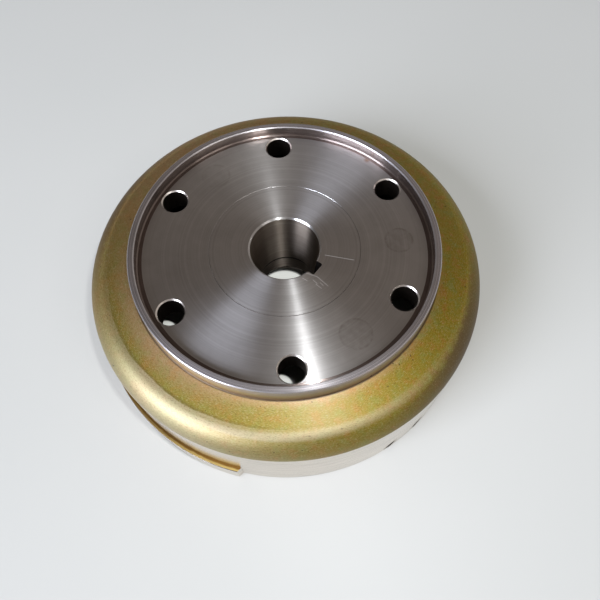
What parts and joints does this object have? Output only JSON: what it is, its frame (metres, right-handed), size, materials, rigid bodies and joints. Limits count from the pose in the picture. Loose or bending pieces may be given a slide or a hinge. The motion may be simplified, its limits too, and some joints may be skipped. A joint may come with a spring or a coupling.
{
  "type": "magneto flywheel rotor",
  "caption": "Cup-shaped steel flywheel rotor of a small engine's magneto generator, with keyed taper hub, bolt circle, trigger lug and arc magnets inside.",
  "frame": {"origin": "centre of the rim plane that the rotor stands on, on the axis of rotation", "axes": "+Z along the axis of rotation, up through the hub towards the turned face; +Y through one bolt hole"},
  "size_m": [0.13, 0.13, 0.043],
  "materials": {
    "shell_plate": "turned bare steel face, yellow zinc shoulder, ground skirt",
    "hub_steel": "turned bare steel",
    "magnet_ferrite": "ground ferrite, matt",
    "cage_plastic": "moulded black resin",
    "ring_steel": "pressed steel, yellow zinc plated"
  },
  "bodies": {
    "root": {"rotor_shell": "shell_plate", "hub": "hub_steel", "magnet_01": "magnet_ferrite", "magnet_02": "magnet_ferrite", "magnet_03": "magnet_ferrite", "magnet_04": "magnet_ferrite", "magnet_05": "magnet_ferrite", "magnet_06": "magnet_ferrite", "magnet_07": "magnet_ferrite", "magnet_08": "magnet_ferrite", "magnet_09": "magnet_ferrite", "magnet_10": "magnet_ferrite", "magnet_11": "magnet_ferrite", "magnet_12": "magnet_ferrite", "magnet_cage": "cage_plastic", "retaining_ring": "ring_steel"}
  },
  "joints": []
}
